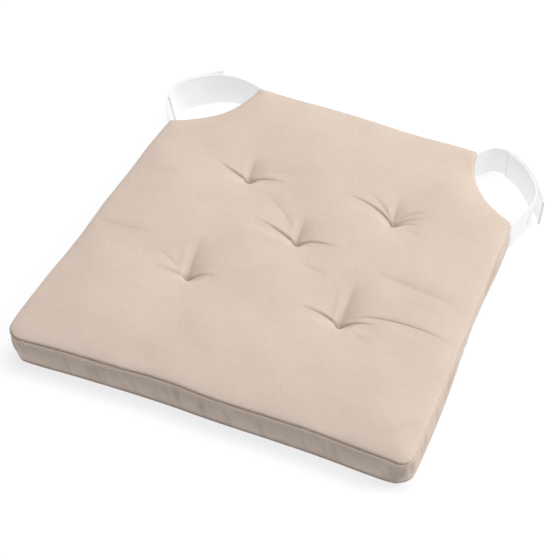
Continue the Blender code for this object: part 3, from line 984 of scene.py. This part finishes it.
def build_tape(node, materials):
    """A tape with its pile, and a turned hem at the tip of an outer one."""
    upper, lower, travel = tape_frames(node)
    low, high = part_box(node)
    side, end = node.split("_")[1:]
    outer = (side, end) in (("left", "side"), ("right", "back"))
    outward = 1 if (side == "left") == (end == "side") else -1
    mating = -outward if outer else outward
    width = high.z - low.z
    web = strip(upper, lower, travel, web_section(width, mating), low.z, high.z)
    body = travel > PILE_START
    if outer:
        body &= travel < travel[-1] - PILE_END
    pile = strip(upper[body], lower[body], travel[body],
                 pile_section(width, int(body.sum()), mating, 3.3 if outer else 6.1),
                 low.z, high.z)
    parts = [web, pile]
    if outer:
        fold = travel > travel[-1] - HEM_LENGTH
        share = (travel[fold] - travel[fold][0]) / HEM_LENGTH
        lift = -mating * (HEM_LIFT + 0.35 * MM * np.sin(share * math.pi))
        section = [(0.02, lift), (0.06, lift * 1.5), (0.5, lift * 1.6), (0.94, lift * 1.5),
                   (0.98, lift), (0.94, lift * 0.85), (0.5, lift * 0.8), (0.06, lift * 0.85)]
        parts.append(strip(upper[fold], lower[fold], travel[fold], section, low.z, high.z))
    verts, faces = joined([part[:2] for part in parts])
    coords = np.concatenate([part[2] for part in parts])
    # Heat-sealed end, darkened further with painted shade.
    painted_shade_and_sealed_end = np.clip((coords[:, 0] - travel[-1]) / CUT_LENGTH + 1, 0, 1)
    if mating < 0:
        faces = [face[::-1] for face in faces]
    obj = add_mesh(f"strap_{side}_{end}", verts, faces, materials[0], coords, painted_shade_and_sealed_end=painted_shade_and_sealed_end)
    obj.data.materials.append(materials[1])
    slots = [int(part is pile) for part in parts for _ in part[1]]
    obj.data.polygons.foreach_set("material_index", slots)
    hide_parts(node, f"tail_{side}_{end}")
    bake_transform(obj)


# ---- materials

class Shading:
    """A node material, with short calls for the nodes that it needs."""

    def __init__(self, name, roughness, sheen):
        self.material = bpy.data.materials.new(name)
        self.material.use_nodes = True
        self.tree = self.material.node_tree
        self.shader = self.tree.nodes["Principled BSDF"]
        self.fill(self.shader, {"Roughness": roughness, "Sheen Weight": sheen,
                                "Sheen Roughness": 0.55, "Specular IOR Level": 0.25})

    def fill(self, node, inputs):
        """Links or sets each of the node's named inputs."""
        for key, value in inputs.items():
            if isinstance(value, bpy.types.NodeSocket):
                self.tree.links.new(value, node.inputs[key])
            else:
                node.inputs[key].default_value = value

    def node(self, kind, inputs=None, **settings):
        node = self.tree.nodes.new(kind)
        for key, value in settings.items():
            setattr(node, key, value)
        self.fill(node, inputs or {})
        return node

    def attribute(self, name, output):
        return self.node("ShaderNodeAttribute", attribute_name=name).outputs[output]

    def math(self, operation, a, b=0.0):
        return self.node("ShaderNodeMath", {0: a, 1: b}, operation=operation).outputs[0]

    def total(self, first, *others):
        """The sum of (value, weight) pairs."""
        result = self.math("MULTIPLY", *first)
        for pair in others:
            result = self.math("ADD", result, self.math("MULTIPLY", *pair))
        return result

    def scaled(self, vector, scale):
        node = self.node("ShaderNodeVectorMath", {0: vector, 1: scale}, operation="MULTIPLY")
        return node.outputs[0]

    def noise(self, vector, scale, detail=2.0, roughness=0.5):
        node = self.node("ShaderNodeTexNoise", {"Vector": self.scaled(vector, scale),
                                                "Scale": 1.0, "Detail": detail,
                                                "Roughness": roughness})
        return node.outputs["Fac"]

    def ramp(self, factor, low, high, first, last):
        """Maps low to high onto first to last."""
        node = self.node("ShaderNodeMapRange", {0: factor, 1: low, 2: high, 3: first, 4: last})
        return node.outputs["Result"]

    def mix(self, factor, first, second):
        node = self.node("ShaderNodeMix", {0: factor, 6: first, 7: second}, data_type="RGBA")
        return node.outputs[2]

    def brighten(self, strength):
        """A white glow, which stands in for overexposed whites; on the tapes it is painted light
        that lifts their shaded faces.
        """
        self.fill(self.shader, {"Emission Color": GLOW_COLOUR, "Emission Strength": strength})

    def finish(self, colour, height, distance, roughness=None):
        bump = self.node("ShaderNodeBump", {"Height": height, "Distance": distance,
                                            "Strength": 1.0})
        self.fill(self.shader, {"Base Color": colour, "Normal": bump.outputs["Normal"]})
        if roughness is not None:
            self.fill(self.shader, {"Roughness": roughness})
        return self.material


def plain_weave(mat, place, pitch):
    """Height of a plain weave: warp and weft take turns on top, 0 to 1."""
    split = mat.node("ShaderNodeSeparateXYZ", {0: mat.scaled(place, (1 / pitch,) * 3)})
    u, v = split.outputs[0], split.outputs[1]
    across, along = (mat.math("ABSOLUTE", mat.math("SINE", mat.math("MULTIPLY", axis, math.pi)))
                     for axis in (u, v))
    cells = mat.math("ADD", mat.math("FLOOR", u), mat.math("FLOOR", v))
    turn = mat.math("ABSOLUTE", mat.math("MODULO", cells, 2.0))
    warp_up = mat.math("MULTIPLY", across, mat.math("SQRT", along))
    weft_up = mat.math("MULTIPLY", mat.math("SQRT", across), along)
    swap = mat.math("MULTIPLY", turn, mat.math("SUBTRACT", weft_up, warp_up))
    return mat.math("ADD", warp_up, swap)


def cotton_material():
    mat = Shading("cover_cotton_weave", 0.9, 0.12)
    place = mat.attribute("cloth", "Vector")
    weave = plain_weave(mat, place, 0.62 * MM)
    warp_slubs = mat.noise(place, (1500.0, 90.0, 1.0), 2.0)
    weft_slubs = mat.noise(place, (120.0, 1600.0, 1.0), 2.0)
    mottle = mat.noise(place, (520.0, 520.0, 1.0), 3.0, 0.6)
    cloud = mat.noise(place, (28.0, 34.0, 1.0), 3.0)
    threads = mat.math("ADD", warp_slubs, weft_slubs)
    tone = mat.total((threads, 0.34), (mottle, 0.3), (cloud, 0.22), (weave, 0.16))
    factor = mat.ramp(tone, 0.36, 0.80, 0.0, 1.0)
    colour = mat.mix(factor, COTTON_DARK, COTTON_LIGHT)
    # Painted shade: darker towards the bottoms of the creases and of the bands' puckers.
    fold = mat.attribute("fold", "Fac")
    colour = mat.mix(mat.ramp(fold, 0.0, 1.0, 0.0, 0.55), colour, COTTON_PAINTED_SHADE)
    height = mat.total((weave, 0.55), (threads, 0.35), (mottle, 0.35))
    roughness = mat.ramp(mottle, 0.3, 0.7, 0.84, 0.95)
    return mat.finish(colour, height, 0.16 * MM, roughness)


def webbing_material():
    mat = Shading("tape_webbing", 0.7, 0.1)
    place = mat.attribute("cloth", "Vector")
    weave = plain_weave(mat, place, 0.45 * MM)
    ribs = mat.node("ShaderNodeTexWave", {"Vector": mat.scaled(place, (1.0, 1.0, 0.0)),
                                          "Scale": 260.0, "Distortion": 0.4},
                    bands_direction="DIAGONAL").outputs["Fac"]
    grime = mat.noise(place, (60.0, 90.0, 1.0), 3.0)
    fibres = mat.noise(place, (900.0, 1700.0, 1.0), 2.0)
    tone = mat.total((grime, 0.6), (fibres, 0.4))
    colour = mat.mix(mat.ramp(tone, 0.3, 0.7, 0.0, 1.0), TAPE_SHADE, TAPE_LIGHT)
    # Heat-sealed end, darkened further with painted shade.
    colour = mat.mix(mat.attribute("fold", "Fac"), colour, SEALED_END_AND_SHADE)
    height = mat.total((weave, 0.6), (ribs, 0.4))
    roughness = mat.ramp(fibres, 0.3, 0.7, 0.6, 0.8)
    # Painted light: the webbing glows to lift its shaded faces.
    mat.brighten(TAPE_PAINTED_GLOW)
    return mat.finish(colour, height, 0.12 * MM, roughness)


def pile_material():
    mat = Shading("tape_pile", 0.9, 0.3)
    place = mat.attribute("cloth", "Vector")
    cells = mat.node("ShaderNodeTexVoronoi", {"Vector": mat.scaled(place, (1.0, 1.0, 0.0)),
                                              "Scale": 900.0})
    tufts = mat.math("SUBTRACT", 1.0, cells.outputs["Distance"])
    fuzz = mat.noise(place, (1900.0, 1900.0, 1.0), 4.0, 0.7)
    colour = mat.mix(tufts, TAPE_SHADE, TAPE_LIGHT)
    height = mat.total((tufts, 0.7), (fuzz, 0.5))
    # Painted light: the pile glows to lift its shaded faces.
    mat.brighten(TAPE_PAINTED_GLOW)
    return mat.finish(colour, height, 0.3 * MM)


def foam_material():
    mat = Shading("open_cell_foam", 0.95, 0.0)
    place = mat.node("ShaderNodeTexCoord").outputs["Object"]
    cells = mat.node("ShaderNodeTexVoronoi", {"Vector": place, "Scale": 1300.0})
    cloud = mat.noise(place, (70.0, 70.0, 70.0), 3.0)
    tone = mat.math("ADD", cells.outputs["Distance"], cloud)
    colour = mat.mix(mat.ramp(tone, 0.4, 1.4, 0.0, 1.0), FOAM_DARK, FOAM_LIGHT)
    return mat.finish(colour, cells.outputs["Distance"], 0.4 * MM)


def thread_material():
    mat = Shading("stitch_thread", 0.75, 0.2)
    place = mat.node("ShaderNodeTexCoord").outputs["Object"]
    twist = mat.node("ShaderNodeTexWave", {"Vector": place, "Scale": 900.0, "Distortion": 1.0},
                     bands_direction="DIAGONAL").outputs["Fac"]
    colour = mat.mix(twist, THREAD_DARK, THREAD_LIGHT)
    return mat.finish(colour, twist, 0.08 * MM)


def floor_material():
    mat = Shading("studio_floor", 0.95, 0.0)
    place = mat.node("ShaderNodeTexCoord").outputs["Object"]
    grain = mat.noise(place, (40.0, 40.0, 40.0), 3.0)
    colour = mat.mix(grain, FLOOR_DARK, FLOOR_LIGHT)
    mat.brighten(FLOOR_GLOW)
    return mat.finish(colour, grain, 0.02 * MM)


# ---- stage, lights and camera

def aim(obj, target):
    obj.rotation_euler = (Vector(target) - obj.location).to_track_quat("-Z", "Y").to_euler()


def area_light(name, place, size, energy):
    light = bpy.data.lights.new(name, "AREA")
    light.shape = "DISK"
    light.size = size
    light.energy = energy
    obj = bpy.data.objects.new(name, light)
    obj.location = place
    SCENE.collection.objects.link(obj)
    aim(obj, (0.0, 0.0, 0.0))


def build_stage(material):
    corners = [(x * FLOOR_REACH, y * FLOOR_REACH, -FLOOR_DROP)
               for x, y in ((-1, -1), (1, -1), (1, 1), (-1, 1))]
    floor = add_mesh("studio_floor", corners, [(0, 1, 2, 3)], material, shade=False)
    world = bpy.data.worlds.new("studio")
    world.use_nodes = True
    backdrop = world.node_tree.nodes["Background"]
    backdrop.inputs["Color"].default_value = (1.0, 1.0, 1.0, 1.0)
    backdrop.inputs["Strength"].default_value = WORLD_GLOW
    SCENE.world = world
    for name, light in LIGHTS.items():
        area_light(name, *light)


def build_camera():
    back = Vector((math.sin(VIEW_AZIMUTH) * math.cos(VIEW_ELEVATION),
                   -math.cos(VIEW_AZIMUTH) * math.cos(VIEW_ELEVATION),
                   math.sin(VIEW_ELEVATION)))
    data = bpy.data.cameras.new("camera")
    data.lens = LENS
    data.sensor_width = 36.0
    camera = bpy.data.objects.new("camera", data)
    camera.location = VIEW_TARGET + back * VIEW_DISTANCE
    SCENE.collection.objects.link(camera)
    aim(camera, VIEW_TARGET)
    bpy.context.scene.camera = camera
    SCENE.view_settings.view_transform = "Standard"


def main():
    cotton = cotton_material()
    thread = thread_material()
    runs = outline_runs(FINE_EDGE)
    outline = np.concatenate([run[:-1] for run in runs])
    coarse = np.concatenate([run[:-1] for run in outline_runs(COARSE_EDGE)])
    centres = tuft_centres()
    lines = crease_lines(centres)
    swell = Swell(coarse, centres)
    top = build_top(swell, outline, centres, lines, cotton)
    build_bottom(outline, centres, cotton)
    build_bands(swell, runs, cotton)
    build_foam(swell, outline[::3], centres, lines, foam_material())
    build_tufts(top, centres, thread)
    tape_materials = webbing_material(), pile_material()
    for node in sorted(frame["nodes"]):
        if node.startswith("tape_"):
            build_tape(node, tape_materials)
    build_stage(floor_material())
    build_camera()


main()
